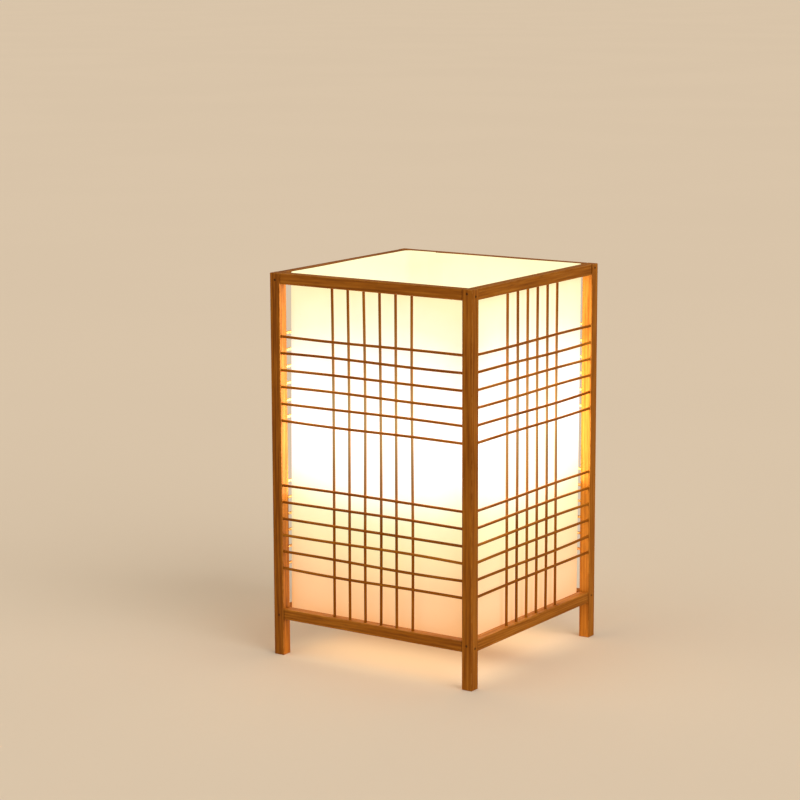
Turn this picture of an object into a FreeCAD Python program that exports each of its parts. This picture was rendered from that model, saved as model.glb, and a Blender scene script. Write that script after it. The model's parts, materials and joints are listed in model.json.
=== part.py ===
import FreeCAD, Part
import math
import os

# Lantern bedside lamp: four posts and eight rails carry a lattice of thin round sticks, and a folded
# translucent liner stands behind the lattice, open at the top and at the bottom. A bar between the left and
# right lower rails carries a screw lampholder with its bulb.
# Millimetres. Origin at the bottom centre, +Z up, front towards -Y, right towards +X.

# Frame
WIDTH = 152.0  # over the posts, both ways
HEIGHT = 250.0
POST_SIDE = 7.4
RAIL_HEIGHT = 7.0
RAIL_REVEAL = 0.5  # how far a rail's face stands behind the posts' faces
LEG_HEIGHT = 24.0  # from the floor to the lower rails
EDGE_ROUND = 0.5  # eased edges of posts, rails and bar

# Lattice sticks
STICK_DIAMETER = 1.8
STICK_SOCKET = 3.0  # depth of a stick's blind hole
STICK_FIT = 0.05  # all round a stick in its hole
STICK_END_GAP = 0.2  # from a stick's end to the bottom of its hole
STICK_SKIN = 0.7  # wood left between a cross stick and the post's face
CROSSING_GAP = 0.05  # between an upright stick and a cross stick
UPRIGHT_COUNT = 6
UPRIGHT_PITCH = 12.0
BAND_COUNT = 6
BAND_PITCH = 10.9
LOWER_BAND_RISE = 27.2  # from the lower rail's top to the first cross stick
UPPER_BAND_DROP = 33.4  # from the upper rail's underside to the last cross stick

# Brads, each driven through a post into the end of a rail
BRAD_DIAMETER = 1.0
BRAD_LENGTH = 20.0
BRAD_POINT = 1.5
BRAD_HEAD_DIAMETER = 1.6
BRAD_HEAD_HEIGHT = 0.6
BRAD_SINK = 0.3  # head below the post's face
BRAD_PASS = 0.8  # between two brads that cross in a post
BRAD_FIT = 0.03

# Liner
LINER_WALL = 0.5
LINER_TOP_DROP = 0.6  # below the frame's top
LINER_FOOT_RISE = 1.0  # above the lower rail's underside
BEND_FRONT_LEFT = 8.0  # outer radius of each hand-made fold
BEND_FRONT_RIGHT = 5.0
BEND_REAR_RIGHT = 2.5
BEND_REAR_LEFT = 5.0
SEAM_SLIT = 0.3
SEAM_INSET = 23.6  # from the liner's left face to the seam in its rear face
SEAM_STRIP_WIDTH = 12.0
SEAM_STRIP_THICKNESS = 0.3

# Bar between the left and right lower rails
BAR_WIDTH = 30.0
BAR_THICKNESS = 6.0
TENON_LENGTH = 2.0
TENON_SHOULDER = 4.0  # each side, across the bar
TENON_CHEEK = 0.8  # below the tenon
TENON_ROOF = 0.6  # wood between the tenon and the sticks' sockets above it
TENON_FIT = 0.1
NOTCH_CLEARANCE = 0.4  # round the bar where the liner lets it through

# Hollow threaded nipple and what clamps it
NIPPLE_DIAMETER = 10.0
NIPPLE_WALL = 1.2
NIPPLE_REACH = 8.0  # above the bar, in the lampholder's cap
NIPPLE_TAIL = 3.0  # below the nut
NIPPLE_FIT = 0.1  # to the nut, washer and cap
NIPPLE_CLEARANCE = 0.3  # to the bar
WASHER_RIM = 5.0  # round its hole
WASHER_THICKNESS = 1.0
NUT_SIDES = 6
NUT_WALL = 1.9  # from its hole to its flats
NUT_CHAMFER = 0.6  # height of the cut at its corners
NUT_THICKNESS = 3.5
BUSH_BRIM = 1.0  # flange past the nipple
BUSH_BRIM_THICKNESS = 1.5
BUSH_NECK = 6.0
BUSH_WALL = 0.6
BUSH_FIT = 0.05

# Lampholder
HOLDER_FIT = 0.15  # between its parts
CAP_BOSS_WALL = 3.9
CAP_BOSS_HEIGHT = 4.0
CAP_RIM_HEIGHT = 4.0  # straight part above the cap's flare
CAP_FLOOR = 9.0  # thickness of the cap round the nipple
CAP_WALL = 2.0
INSERT_RIM = 1.8  # round the threaded shell
INSERT_HEIGHT = 9.0
INSERT_SEAT_HEIGHT = 5.0  # ledge above the cap's floor
INSERT_SINK = 4.0  # ledge below the cap's rim
INSERT_LEDGE = 1.5
SKIRT_WALL = 1.7
SKIRT_TAPER = 1.0  # narrower at the top, all round
SKIRT_STRAIGHT = 10.0
SKIRT_RIM = 1.5  # above the threaded shell
SKIRT_CLEARANCE = 0.7  # round the threaded shell
TERMINAL_DIAMETER = 3.0
TERMINAL_LENGTH = 6.0
TERMINAL_HEAD_DIAMETER = 5.5
TERMINAL_HEAD_HEIGHT = 2.0
TERMINAL_INSET = 6.5  # from the insert's edge
TERMINAL_FIT = 0.05
CONTACT_WIDTH = 6.0
CONTACT_THICKNESS = 0.5
CONTACT_FOOT = 13.0  # length of the foot on the insert
CONTACT_RISE = 4.0  # top of the tongue above the insert
CONTACT_GAP = 0.1  # to the bulb's end contact

# Lamp thread, the same helix on the bulb and in the lampholder
THREAD_PITCH = 3.629
THREAD_RADIUS = 12.6  # middle of the rounded profile, on the bulb
THREAD_DEPTH = 1.0  # from crest to root
THREAD_CLEARANCE = 0.25
THREAD_RUNOUT = 1.8  # where the thread fades at its ends
THREAD_WALL = 0.35
SHELL_HEIGHT = 20.0  # lampholder's threaded shell
SECTIONS_PER_TURN = 12

# Bulb
TIP_DIAMETER = 9.6
TIP_DOME = 0.9
TIP_EDGE = 0.7
STEM_DIAMETER = 3.0
STEM_HEIGHT = 3.0
STEM_FIT = 0.06
TIP_CLEARANCE = 0.05  # between the end contact and the insulator
INSULATOR_FOOT_DIAMETER = 14.0
INSULATOR_HEIGHT = 5.0
INSULATOR_SPIGOT = 1.5  # stands inside the threaded shell
CAP_FIT = 0.1  # insulator and housing inside the threaded shell
CAP_SHOW = 8.6  # bulb's threaded shell above the lampholder's rim
NECK_DEPTH = 9.0  # housing inside the threaded shell
NECK_WALL = 1.5
HOUSING_FOOT_RIM = 0.9  # past the threaded shell
HOUSING_HEIGHT = 44.0
HOUSING_WALL = 1.6
BULB_DIAMETER = 60.0
DIFFUSER_STRAIGHT = 8.0
DIFFUSER_WALL = 1.2
DIFFUSER_LIP = 2.5  # stands inside the housing
DIFFUSER_FIT = 0.1
BOARD_THICKNESS = 1.6
BOARD_LEDGE = 1.5
BOARD_SHELF = 1.7  # thickness of the ledge
BOARD_FIT = 0.2
CHIP_COUNT = 10
CHIP_LENGTH = 3.5
CHIP_WIDTH = 2.8
CHIP_HEIGHT = 0.8
CHIP_INSET = 12.2  # from the board's edge to the middle of a chip

# Places that follow from the sizes
HALF = WIDTH / 2
BAY = HALF - POST_SIDE  # half of the clear width between posts, and where the rails' inner faces stand
RAIL_DEPTH = POST_SIDE - RAIL_REVEAL
LOWER_RAIL_TOP = LEG_HEIGHT + RAIL_HEIGHT
UPPER_RAIL_FOOT = HEIGHT - RAIL_HEIGHT
CROSS_DEPTH = STICK_SKIN + STICK_DIAMETER / 2
UPRIGHT_DEPTH = CROSS_DEPTH + STICK_DIAMETER + CROSSING_GAP
LOWER_BAND = [LOWER_RAIL_TOP + LOWER_BAND_RISE + i * BAND_PITCH for i in range(BAND_COUNT)]
UPPER_BAND = [UPPER_RAIL_FOOT - UPPER_BAND_DROP - i * BAND_PITCH for i in range(BAND_COUNT)]
UPRIGHTS = [(i - (UPRIGHT_COUNT - 1) / 2) * UPRIGHT_PITCH for i in range(UPRIGHT_COUNT)]
LINER_FOOT = LEG_HEIGHT + LINER_FOOT_RISE
LINER_TOP = HEIGHT - LINER_TOP_DROP
SEAM_X = SEAM_INSET - BAY
BAR_FOOT = LEG_HEIGHT + (RAIL_HEIGHT - BAR_THICKNESS) / 2
BAR_TOP = BAR_FOOT + BAR_THICKNESS
NIPPLE_RADIUS = NIPPLE_DIAMETER / 2
NIPPLE_HOLE = NIPPLE_RADIUS + NIPPLE_FIT  # in the nut, washer and cap
NIPPLE_BORE = NIPPLE_RADIUS - NIPPLE_WALL
WASHER_FOOT = BAR_FOOT - WASHER_THICKNESS
NUT_FOOT = WASHER_FOOT - NUT_THICKNESS
NIPPLE_FOOT = NUT_FOOT - NIPPLE_TAIL
SHELL_RADIUS = THREAD_RADIUS + THREAD_CLEARANCE + THREAD_WALL  # middle of the outer profile
SHELL_CREST = SHELL_RADIUS + THREAD_DEPTH / 2
INSERT_RADIUS = SHELL_CREST + INSERT_RIM
SPIGOT_RADIUS = INSERT_RADIUS + HOLDER_FIT + CAP_WALL
HOLDER_RADIUS = SPIGOT_RADIUS + HOLDER_FIT + SKIRT_WALL
INSERT_FOOT = BAR_TOP + CAP_FLOOR + INSERT_SEAT_HEIGHT
INSERT_TOP = INSERT_FOOT + INSERT_HEIGHT
CAP_RIM = INSERT_FOOT + INSERT_SINK
SPIGOT_TOP = INSERT_TOP - HOLDER_FIT  # the skirt's shoulder rests on the insert
SHELL_TOP = INSERT_TOP + SHELL_HEIGHT
HOLDER_TOP = SHELL_TOP + SKIRT_RIM
TIP_FOOT = INSERT_TOP + CONTACT_RISE + CONTACT_GAP
TIP_TOP = TIP_FOOT + TIP_DOME + TIP_EDGE
INSULATOR_FOOT = TIP_TOP + TIP_CLEARANCE
CAP_FOOT = INSULATOR_FOOT + INSULATOR_HEIGHT
CAP_TOP = HOLDER_TOP + CAP_SHOW
CAP_ROOT = THREAD_RADIUS - THREAD_DEPTH / 2  # smallest outer radius of the bulb's threaded shell
CAP_CREST = THREAD_RADIUS + THREAD_DEPTH / 2
CAP_INSIDE = CAP_ROOT - THREAD_WALL - CAP_FIT
HOUSING_TOP = CAP_TOP + HOUSING_HEIGHT
BULB_RADIUS = BULB_DIAMETER / 2
BOARD_RADIUS = BULB_RADIUS - HOUSING_WALL - BOARD_FIT
BOARD_TOP = HOUSING_TOP - DIFFUSER_LIP - BOARD_FIT
BOARD_FOOT = BOARD_TOP - BOARD_THICKNESS

SIDES = {"front": 0, "right": 90, "rear": 180, "left": 270}  # quarter turns from the front
CORNERS = {"front_left": 0, "front_right": 90, "rear_right": 180, "rear_left": 270}
SLANT = math.sqrt(0.5)  # how far along and up the middle of a quarter round lies
UP = FreeCAD.Vector(0, 0, 1)
ORIGIN = FreeCAD.Vector(0, 0, 0)


def turned(shape, degrees):
    """The shape turned about the lamp's upright axis."""
    copy = shape.copy()
    copy.rotate(ORIGIN, UP, degrees)
    return copy


def block(low, high):
    """A box between two opposite corners."""
    size = [b - a for a, b in zip(low, high)]
    return Part.makeBox(*size, FreeCAD.Vector(*low))


def eased(shape, radius):
    return shape.makeFillet(radius, shape.Edges)


def rod(radius, start, end):
    start = FreeCAD.Vector(*start)
    run = FreeCAD.Vector(*end) - start
    return Part.makeCylinder(radius, run.Length, start, run)


def ring(outer, inner, foot, top):
    tube = Part.makeCylinder(outer, top - foot, FreeCAD.Vector(0, 0, foot))
    return tube.cut(Part.makeCylinder(inner, top - foot, FreeCAD.Vector(0, 0, foot)))


def lathe(edges):
    """A solid of revolution about the upright axis from the edges of a closed outline in the XZ plane."""
    face = Part.Face(Part.Wire(edges))
    return face.revolve(ORIGIN, UP, 360)


def at(radius, height):
    return FreeCAD.Vector(radius, 0, height)


def lines(*points):
    """Straight edges through (radius, height) points."""
    spots = [at(*p) for p in points]
    return [Part.makeLine(a, b) for a, b in zip(spots, spots[1:])]


def spline(*points):
    """One smooth edge through (radius, height) points, upright at both of its ends."""
    curve = Part.BSplineCurve()
    rise = UP if points[-1][1] > points[0][1] else -UP
    curve.interpolate(Points=[at(*p) for p in points], InitialTangent=rise, FinalTangent=rise)
    return curve.toShape()


def brad(grow=0.0, lead=0.0):
    """A brad along +Z from its head, or the hole for it: grown all round and led out past the head."""
    head = BRAD_HEAD_DIAMETER / 2 + grow
    shank = BRAD_DIAMETER / 2 + grow
    tip = BRAD_LENGTH + grow
    return lathe(lines((0, -lead), (head, -lead), (head, BRAD_HEAD_HEIGHT + grow),
                       (shank, BRAD_HEAD_HEIGHT + grow), (shank, tip - BRAD_POINT), (0, tip), (0, -lead)))


def corner_brads(grow=0.0, lead=0.0):
    """The brads of the front left post at both rails: one to the right, one to the rear."""
    inset = RAIL_REVEAL + RAIL_DEPTH / 2
    stagger = (BRAD_DIAMETER + BRAD_PASS) / 2
    made = []
    for middle in (LEG_HEIGHT + RAIL_HEIGHT / 2, HEIGHT - RAIL_HEIGHT / 2):
        to_right = brad(grow, lead)
        to_right.rotate(ORIGIN, FreeCAD.Vector(0, 1, 0), 90)
        to_right.translate(FreeCAD.Vector(-HALF + BRAD_SINK, -HALF + inset, middle + stagger))
        to_rear = brad(grow, lead)
        to_rear.rotate(ORIGIN, FreeCAD.Vector(1, 0, 0), -90)
        to_rear.translate(FreeCAD.Vector(-HALF + inset, -HALF + BRAD_SINK, middle - stagger))
        made += [to_right, to_rear]
    return made


def brad_holes(degrees):
    """Holes for the brads of the corner that is so many degrees on from the front left."""
    return [turned(hole, degrees) for hole in corner_brads(BRAD_FIT, 2 * BRAD_SINK)]


def cross_sticks(heights, end, radius):
    """Cross sticks of the front, reaching from side to side."""
    depth = -HALF + CROSS_DEPTH
    return [rod(radius, (-end, depth, z), (end, depth, z)) for z in heights]


def upright_sticks(foot, top, radius):
    depth = -HALF + UPRIGHT_DEPTH
    return [rod(radius, (x, depth, foot), (x, depth, top)) for x in UPRIGHTS]


def stick_sockets():
    """Every blind hole of the front, as rods that end where the holes end."""
    radius = STICK_DIAMETER / 2 + STICK_FIT
    across = cross_sticks(LOWER_BAND + UPPER_BAND, BAY + STICK_SOCKET, radius)
    upright = upright_sticks(LOWER_RAIL_TOP - STICK_SOCKET, UPPER_RAIL_FOOT + STICK_SOCKET, radius)
    return across, upright


def post():
    """The front left post, with its blind holes for the front's and the left side's cross sticks."""
    wood = eased(block((-HALF, -HALF, 0), (-BAY, -BAY, HEIGHT)), EDGE_ROUND)
    across, _ = stick_sockets()
    left = [turned(hole, SIDES["left"]) for hole in across]
    return wood.cut(across + left + brad_holes(CORNERS["front_left"]))


def rail(foot):
    """A rail of the front, between its posts, from its foot up."""
    wood = eased(block((-BAY, -HALF + RAIL_REVEAL, foot), (BAY, -BAY, foot + RAIL_HEIGHT)), EDGE_ROUND)
    _, upright = stick_sockets()
    ends = brad_holes(CORNERS["front_left"]) + brad_holes(CORNERS["front_right"])
    return wood.cut(upright + ends)


def folded_sheet(shrink, foot, top):
    """The block inside the liner's outer face, or inside its wall, with the four hand-made folds."""
    half = BAY - shrink
    solid = block((-half, -half, foot), (half, half, top))
    bends = ((-half, -half, BEND_FRONT_LEFT), (half, -half, BEND_FRONT_RIGHT),
             (half, half, BEND_REAR_RIGHT), (-half, half, BEND_REAR_LEFT))
    for x, y, bend in bends:
        corner = FreeCAD.Vector(x, y, (foot + top) / 2)
        edges = [e for e in solid.Edges if e.CenterOfMass.distanceToPoint(corner) < LINER_WALL / 2]
        solid = solid.makeFillet(bend - shrink, edges)
    return solid


def liner():
    """One sheet folded into a square tube, with a slit at its seam and a notch at each end of the bar."""
    sheet = folded_sheet(0, LINER_FOOT, LINER_TOP).cut(folded_sheet(LINER_WALL, LINER_FOOT, LINER_TOP))
    slit = block((SEAM_X - SEAM_SLIT / 2, 0, LINER_FOOT), (SEAM_X + SEAM_SLIT / 2, HALF, LINER_TOP))
    reach = BAR_WIDTH / 2 + NOTCH_CLEARANCE
    notches = block((-HALF, -reach, LINER_FOOT), (HALF, reach, BAR_TOP + NOTCH_CLEARANCE))
    return sheet.cut([slit, notches])


def liner_joining_strip():
    face = BAY - LINER_WALL
    reach = SEAM_STRIP_WIDTH / 2
    return block((SEAM_X - reach, face - SEAM_STRIP_THICKNESS, LINER_FOOT), (SEAM_X + reach, face, LINER_TOP))


def bar_tenons(grow):
    """One bar right through both tenons, or through both mortises, below the sticks' sockets."""
    length = BAY + TENON_LENGTH + grow
    width = BAR_WIDTH / 2 - TENON_SHOULDER + grow
    foot = BAR_FOOT + TENON_CHEEK - grow
    top = LOWER_RAIL_TOP - STICK_SOCKET - TENON_ROOF + grow
    return block((-length, -width, foot), (length, width, top))


def lamp_bar():
    """Cross bar with a stub tenon at each end and the nipple's hole in its middle."""
    wood = eased(block((-BAY, -BAR_WIDTH / 2, BAR_FOOT), (BAY, BAR_WIDTH / 2, BAR_TOP)), EDGE_ROUND)
    hole = rod(NIPPLE_RADIUS + NIPPLE_CLEARANCE, (0, 0, BAR_FOOT), (0, 0, BAR_TOP))
    return wood.fuse(bar_tenons(0)).cut(hole)


def nipple():
    return ring(NIPPLE_RADIUS, NIPPLE_BORE, NIPPLE_FOOT, BAR_TOP + NIPPLE_REACH)


def nipple_washer():
    return ring(NIPPLE_HOLE + WASHER_RIM, NIPPLE_HOLE, WASHER_FOOT, BAR_FOOT)


def nipple_nut():
    """Thin hexagonal lock nut with its corners chamfered on both faces."""
    flat = NIPPLE_HOLE + NUT_WALL
    corner = flat / math.cos(math.pi / NUT_SIDES)
    first = FreeCAD.Vector(corner, 0, NUT_FOOT)
    spots = [FreeCAD.Rotation(UP, 360 * k / NUT_SIDES).multVec(first) for k in range(NUT_SIDES)]
    prism = Part.Face(Part.makePolygon(spots + [first])).extrude(UP * NUT_THICKNESS)
    turning = lathe(lines((NIPPLE_HOLE, NUT_FOOT), (flat, NUT_FOOT), (corner, NUT_FOOT + NUT_CHAMFER),
                          (corner, WASHER_FOOT - NUT_CHAMFER), (flat, WASHER_FOOT),
                          (NIPPLE_HOLE, WASHER_FOOT), (NIPPLE_HOLE, NUT_FOOT)))
    return prism.common(turning)


def cord_bush():
    """Flanged bush in the nipple's lower end, where the cord goes in."""
    neck = NIPPLE_BORE - BUSH_FIT
    bore = neck - BUSH_WALL
    brim = NIPPLE_RADIUS + BUSH_BRIM
    low = NIPPLE_FOOT - BUSH_BRIM_THICKNESS
    return lathe(lines((bore, low), (brim, low), (brim, NIPPLE_FOOT), (neck, NIPPLE_FOOT),
                       (neck, NIPPLE_FOOT + BUSH_NECK), (bore, NIPPLE_FOOT + BUSH_NECK), (bore, low)))


def holder_cap():
    """Lower half of the lampholder: boss, flare, rim, and a spigot with the insert's ledge inside it."""
    bore = NIPPLE_HOLE
    boss = bore + CAP_BOSS_WALL
    boss_top = BAR_TOP + CAP_BOSS_HEIGHT
    seat = INSERT_RADIUS + HOLDER_FIT
    ledge = INSERT_RADIUS - INSERT_LEDGE
    floor = BAR_TOP + CAP_FLOOR
    flare_top = CAP_RIM - CAP_RIM_HEIGHT
    bulge = at(boss + (HOLDER_RADIUS - boss) * SLANT, flare_top - (flare_top - boss_top) * SLANT)
    flare = Part.Arc(at(boss, boss_top), bulge, at(HOLDER_RADIUS, flare_top)).toShape()
    return lathe(lines((bore, floor), (bore, BAR_TOP), (boss, BAR_TOP), (boss, boss_top)) + [flare]
                 + lines((HOLDER_RADIUS, flare_top), (HOLDER_RADIUS, CAP_RIM), (SPIGOT_RADIUS, CAP_RIM),
                         (SPIGOT_RADIUS, SPIGOT_TOP), (seat, SPIGOT_TOP), (seat, INSERT_FOOT),
                         (ledge, INSERT_FOOT), (ledge, floor), (bore, floor)))


def holder_skirt():
    """Upper half of the lampholder, over the cap's spigot and round the threaded shell."""
    socket = SPIGOT_RADIUS + HOLDER_FIT
    throat = SHELL_CREST + SKIRT_CLEARANCE
    return lathe(lines((socket, CAP_RIM), (HOLDER_RADIUS, CAP_RIM), (HOLDER_RADIUS, CAP_RIM + SKIRT_STRAIGHT),
                       (HOLDER_RADIUS - SKIRT_TAPER, HOLDER_TOP), (throat, HOLDER_TOP), (throat, INSERT_TOP),
                       (socket, INSERT_TOP), (socket, CAP_RIM)))


def terminal_shanks(grow):
    """Shanks of the two terminal screws, or the holes for them, up into the insert."""
    top = INSERT_FOOT + TERMINAL_LENGTH + grow
    places = (INSERT_RADIUS - TERMINAL_INSET, TERMINAL_INSET - INSERT_RADIUS)
    return [rod(TERMINAL_DIAMETER / 2 + grow, (0, y, INSERT_FOOT), (0, y, top)) for y in places]


def terminal_screws():
    made = []
    for shank in terminal_shanks(0):
        y = shank.CenterOfMass.y
        foot = INSERT_FOOT - TERMINAL_HEAD_HEIGHT
        made.append(shank.fuse(rod(TERMINAL_HEAD_DIAMETER / 2, (0, y, foot), (0, y, INSERT_FOOT))))
    return made


def holder_insert():
    disc = rod(INSERT_RADIUS, (0, 0, INSERT_FOOT), (0, 0, INSERT_TOP))
    return disc.cut(terminal_shanks(TERMINAL_FIT))


def centre_contact():
    """Springy tongue bent from strip: a foot on the insert, a rise, and a leaf under the bulb."""
    back = CONTACT_FOOT / 2
    inner = back - CONTACT_THICKNESS
    front = -TIP_DIAMETER / 2
    low = INSERT_TOP
    high = INSERT_TOP + CONTACT_RISE
    leaf = high - CONTACT_THICKNESS
    foot = low + CONTACT_THICKNESS
    outline = lines((-back, low), (back, low), (back, high), (front, high), (front, leaf), (inner, leaf),
                    (inner, foot), (-back, foot), (-back, low))
    strip = Part.Face(Part.Wire(outline)).extrude(FreeCAD.Vector(0, CONTACT_WIDTH, 0))
    strip.translate(FreeCAD.Vector(0, -CONTACT_WIDTH / 2, 0))
    return strip


def thread_wires(radius, foot, top, foot_flare, top_flare):
    """Level circles whose centres run round a helix, so that together they make a rounded thread.

    At its foot and top the thread fades into a plain circle: at its crest for a flare of 1, its root for -1.
    """
    depth = THREAD_DEPTH / 2
    steps = math.ceil((top - foot) / THREAD_PITCH * SECTIONS_PER_TURN)
    wires = []
    for k in range(steps + 1):
        z = foot + (top - foot) * k / steps
        near_foot = z - foot < top - z
        fade = min(1, min(z - foot, top - z) / THREAD_RUNOUT)
        flare = (foot_flare if near_foot else top_flare) * depth * (1 - fade)
        angle = 2 * math.pi * z / THREAD_PITCH
        centre = FreeCAD.Vector(depth * fade * math.cos(angle), depth * fade * math.sin(angle), z)
        wires.append(Part.Wire(Part.makeCircle(radius + flare, centre, UP)))
    return wires


def threaded_tube(radius, foot, top, foot_flare, top_flare):
    """A thin tube with a rounded thread rolled into its wall; radius is the middle of its outer profile."""
    outside = thread_wires(radius, foot, top, foot_flare, top_flare)
    inside = thread_wires(radius - THREAD_WALL, foot, top, foot_flare, top_flare)
    faces = Part.makeLoft(outside, False, True).Faces + Part.makeLoft(inside, False, True).Faces
    for end in (0, -1):
        faces.append(Part.makeFace([outside[end], inside[end]], "Part::FaceMakerBullseye"))
    shell = Part.makeShell(faces)
    shell.sewShape()
    tube = Part.makeSolid(shell)
    if tube.Volume < 0:
        tube.reverse()
    return tube


def screw_shell():
    return threaded_tube(SHELL_RADIUS, INSERT_TOP, SHELL_TOP, 1, 1)


def bulb_cap_shell():
    return threaded_tube(THREAD_RADIUS, CAP_FOOT, CAP_TOP, -1, 1)


def bulb_end_contact():
    """Domed contact with a stem up into the insulator."""
    radius = TIP_DIAMETER / 2
    edge = TIP_FOOT + TIP_DOME
    stem = STEM_DIAMETER / 2
    stem_top = TIP_TOP + STEM_HEIGHT
    dome_radius = (radius ** 2 + TIP_DOME ** 2) / (2 * TIP_DOME)
    half_angle = math.asin(radius / dome_radius) / 2
    middle = at(dome_radius * math.sin(half_angle), TIP_FOOT + dome_radius * (1 - math.cos(half_angle)))
    dome = Part.Arc(at(0, TIP_FOOT), middle, at(radius, edge)).toShape()
    return lathe([dome] + lines((radius, edge), (radius, TIP_TOP), (stem, TIP_TOP), (stem, stem_top),
                                (0, stem_top), (0, TIP_FOOT)))


def bulb_cap_insulator():
    foot = INSULATOR_FOOT_DIAMETER / 2
    hole = STEM_DIAMETER / 2 + STEM_FIT
    spigot_top = CAP_FOOT + INSULATOR_SPIGOT
    return lathe(lines((hole, INSULATOR_FOOT), (foot, INSULATOR_FOOT), (CAP_ROOT, CAP_FOOT),
                       (CAP_INSIDE, CAP_FOOT), (CAP_INSIDE, spigot_top), (hole, spigot_top),
                       (hole, INSULATOR_FOOT)))


def bulb_housing():
    """Flared hollow body: a neck inside the threaded shell, a foot on it, a rim with the board's ledge."""
    foot = CAP_CREST + HOUSING_FOOT_RIM
    neck_foot = CAP_TOP - NECK_DEPTH
    bore = CAP_INSIDE - NECK_WALL
    shoulder = BOARD_FOOT - BOARD_SHELF
    rim = BULB_RADIUS - HOUSING_WALL
    ledge = BOARD_RADIUS - BOARD_LEDGE
    middle = (CAP_TOP + shoulder) / 2
    waist = (foot + BULB_RADIUS) / 2
    flare = spline((foot, CAP_TOP), (waist, middle), (BULB_RADIUS, shoulder))
    hollow = spline((ledge, shoulder), (waist - HOUSING_WALL, middle), (bore, CAP_TOP))
    return lathe(lines((bore, neck_foot), (CAP_INSIDE, neck_foot), (CAP_INSIDE, CAP_TOP), (foot, CAP_TOP))
                 + [flare]
                 + lines((BULB_RADIUS, shoulder), (BULB_RADIUS, HOUSING_TOP), (rim, HOUSING_TOP),
                         (rim, BOARD_FOOT), (ledge, BOARD_FOOT), (ledge, shoulder))
                 + [hollow]
                 + lines((bore, CAP_TOP), (bore, neck_foot)))


def led_board():
    return rod(BOARD_RADIUS, (0, 0, BOARD_FOOT), (0, 0, BOARD_TOP))


def led_chips():
    """A ring of light chips on the board."""
    near = BOARD_RADIUS - CHIP_INSET - CHIP_LENGTH / 2
    side = CHIP_WIDTH / 2
    chip = block((near, -side, BOARD_TOP), (near + CHIP_LENGTH, side, BOARD_TOP + CHIP_HEIGHT))
    return [turned(chip, 360 * k / CHIP_COUNT) for k in range(CHIP_COUNT)]


def bulb_diffuser():
    """Milky dome: a lip inside the housing's rim, a straight wall, and half a ball on top."""
    centre = HOUSING_TOP + DIFFUSER_STRAIGHT
    inner = BULB_RADIUS - DIFFUSER_WALL
    lip = BULB_RADIUS - HOUSING_WALL - DIFFUSER_FIT
    lip_inner = lip - DIFFUSER_WALL
    lip_foot = HOUSING_TOP - DIFFUSER_LIP
    lip_top = HOUSING_TOP + DIFFUSER_WALL

    def quarter(radius):
        bulge = at(radius * SLANT, centre + radius * SLANT)
        return Part.Arc(at(radius, centre), bulge, at(0, centre + radius)).toShape()

    return lathe(lines((inner, centre), (inner, lip_top), (lip_inner, lip_top), (lip_inner, lip_foot),
                       (lip, lip_foot), (lip, HOUSING_TOP), (BULB_RADIUS, HOUSING_TOP), (BULB_RADIUS, centre))
                 + [quarter(BULB_RADIUS)]
                 + lines((0, centre + BULB_RADIUS), (0, centre + inner))
                 + [quarter(inner)])


def frame_parts():
    """Posts, rails, sticks and brads of all four sides."""
    made = {}
    corner_post = post()
    for corner, degrees in CORNERS.items():
        made["post_" + corner] = [turned(corner_post, degrees)]
    upper_rail = rail(UPPER_RAIL_FOOT)
    lower_rail = rail(LEG_HEIGHT)
    radius = STICK_DIAMETER / 2
    hold = STICK_SOCKET - STICK_END_GAP
    mortises = bar_tenons(TENON_FIT)
    groups = {
        "upright_sticks_": upright_sticks(LOWER_RAIL_TOP - hold, UPPER_RAIL_FOOT + hold, radius),
        "upper_band_sticks_": cross_sticks(UPPER_BAND, BAY + hold, radius),
        "lower_band_sticks_": cross_sticks(LOWER_BAND, BAY + hold, radius),
    }
    for side, degrees in SIDES.items():
        made["upper_rail_" + side] = [turned(upper_rail, degrees)]
        made["lower_rail_" + side] = [turned(lower_rail, degrees).cut(mortises)]
        for name, sticks in groups.items():
            made[name + side] = [turned(stick, degrees) for stick in sticks]
    made["frame_brads"] = [turned(nail, degrees) for degrees in CORNERS.values() for nail in corner_brads()]
    return made


def inner_parts():
    """The liner, the bar, the lampholder and the bulb."""
    single = (liner, liner_joining_strip, lamp_bar, nipple, nipple_washer, nipple_nut, cord_bush, holder_cap,
              holder_skirt, holder_insert, screw_shell, centre_contact, bulb_end_contact, bulb_cap_insulator,
              bulb_cap_shell, bulb_housing, led_board, bulb_diffuser)
    made = {piece.__name__: [piece()] for piece in single}
    made["terminal_screws"] = terminal_screws()
    made["led_chips"] = led_chips()
    return made


os.makedirs("parts", exist_ok=True)
for node, solids in {**frame_parts(), **inner_parts()}.items():
    shape = solids[0] if len(solids) == 1 else Part.makeCompound(solids)
    shape.exportStep("parts/" + node + ".step")
    print(node, len(shape.Solids), "solid(s),", round(shape.Volume, 1), "mm3, valid:", shape.isValid())
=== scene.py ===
import json
import math

import bpy
from mathutils import Color, Euler, Matrix, Vector

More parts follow.
